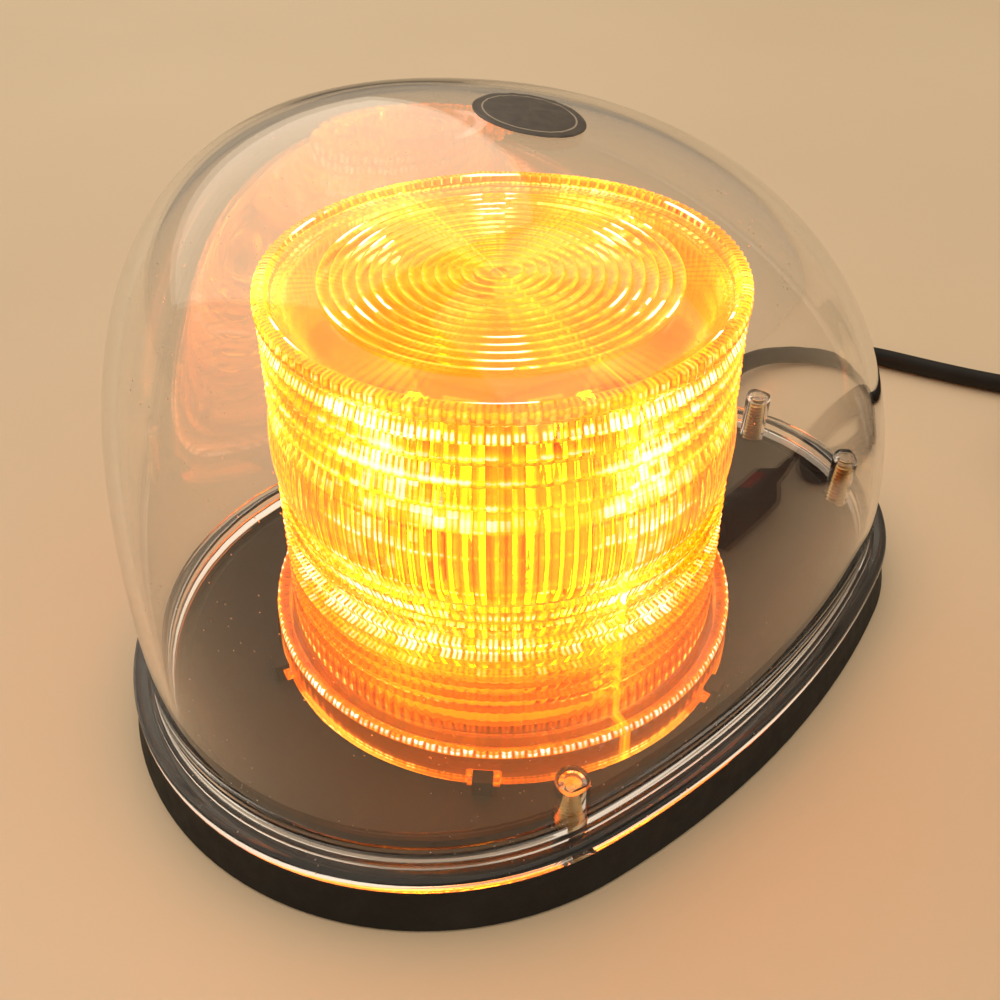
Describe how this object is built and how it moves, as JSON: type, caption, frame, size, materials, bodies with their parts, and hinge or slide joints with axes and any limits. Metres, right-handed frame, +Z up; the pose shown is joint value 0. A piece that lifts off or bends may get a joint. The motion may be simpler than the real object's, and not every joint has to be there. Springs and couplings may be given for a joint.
{
  "type": "warning beacon",
  "caption": "Low teardrop warning beacon: a clear dome over a ringed drum lens lit amber by side-facing lamps, on a black magnet base with a rubber skirt, a lead and a cigar plug",
  "frame": {"origin": "On the roof surface, under the middle of the body's plan outline (lead and plug left out)", "axes": "+Z points up from the roof through the dome, +Y points to the narrow tail, where the lead leaves, and +X to the side so that the frame is right-handed"},
  "size_m": [0.2142, 0.3133, 0.1285],
  "materials": {
    "black_abs": "fine textured",
    "black_rubber": "matte",
    "clear_dome": "polished clear polycarbonate",
    "clear_lens": "prismatic clear polycarbonate",
    "label_film": "printed film, left bare",
    "steel_screw": "yellow passivated",
    "plated_cup": "nickel plated",
    "circuit_board": "white solder mask",
    "aluminium_post": "plain",
    "white_plastic": "moulded",
    "amber_led": "lit amber",
    "black_component": "moulded",
    "cord_jacket": "smooth PVC",
    "plug_plastic": "moulded",
    "plated_contact": "nickel plated",
    "red_switch": "moulded",
    "button_plastic": "moulded",
    "lamp_window": "clear"
  },
  "bodies": {
    "beacon": {"base_tray": "black_abs", "bottom_cover": "black_abs", "skirt": "black_rubber", "dome_gasket": "black_rubber", "dome": "clear_dome", "sticker": "label_film", "lens": "clear_lens", "lens_seal": "black_rubber", "dome_screw_1": "steel_screw", "dome_screw_2": "steel_screw", "dome_screw_3": "steel_screw", "dome_screw_4": "steel_screw", "magnet_cup_1": "plated_cup", "magnet_pad_1": "black_rubber", "magnet_screw_1": "steel_screw", "magnet_cup_2": "plated_cup", "magnet_pad_2": "black_rubber", "magnet_screw_2": "steel_screw", "magnet_cup_3": "plated_cup", "magnet_pad_3": "black_rubber", "magnet_screw_3": "steel_screw", "main_board": "circuit_board", "board_screw_1": "steel_screw", "board_screw_2": "steel_screw", "board_screw_3": "steel_screw", "led_post": "aluminium_post", "post_cap": "white_plastic", "led_board_1": "circuit_board", "led_strip_1": "amber_led", "led_board_2": "circuit_board", "led_strip_2": "amber_led", "led_board_3": "circuit_board", "led_strip_3": "amber_led", "led_board_4": "circuit_board", "led_strip_4": "amber_led", "led_board_5": "circuit_board", "led_strip_5": "amber_led", "led_board_6": "circuit_board", "led_strip_6": "amber_led", "capacitor_1": "black_component", "capacitor_2": "black_component", "choke": "black_component", "regulator": "black_component", "cord_boot": "cord_jacket", "cord_lead": "cord_jacket", "cord_coil": "cord_jacket", "coil_tie": "black_abs", "cord_tail": "cord_jacket", "plug_boot": "cord_jacket", "plug_shell_top": "plug_plastic", "plug_shell_bottom": "plug_plastic", "plug_nut": "plug_plastic", "plug_lamp": "lamp_window"},
    "centre_contact": {"plug_tip": "plated_contact"},
    "side_contact_1": {"plug_contact_1": "plated_contact"},
    "side_contact_2": {"plug_contact_2": "plated_contact"},
    "rocker": {"plug_switch": "red_switch"},
    "button": {"plug_button": "button_plastic"}
  },
  "joints": [
    {"name": "centre_contact_slide", "type": "slide", "parent": "beacon", "child": "centre_contact", "axis": [-0.342, 0.9397, 0], "range_m": [0, 0.003], "stiffness_N_per_m": 800},
    {"name": "side_contact_1_slide", "type": "slide", "parent": "beacon", "child": "side_contact_1", "axis": [0.9397, 0.342, 0], "range_m": [0, 0.001], "stiffness_N_per_m": 1500},
    {"name": "side_contact_2_slide", "type": "slide", "parent": "beacon", "child": "side_contact_2", "axis": [-0.9397, -0.342, 0], "range_m": [0, 0.001], "stiffness_N_per_m": 1500},
    {"name": "rocker_pivot", "type": "hinge", "parent": "beacon", "child": "rocker", "pos_m": [0.11725, 0.11683, 0.0219], "axis": [-0.9397, -0.342, 0], "range_deg": [0, 18]},
    {"name": "button_slide", "type": "slide", "parent": "beacon", "child": "button", "axis": [0, 0, -1], "range_m": [0, 0.001], "stiffness_N_per_m": 1000}
  ]
}
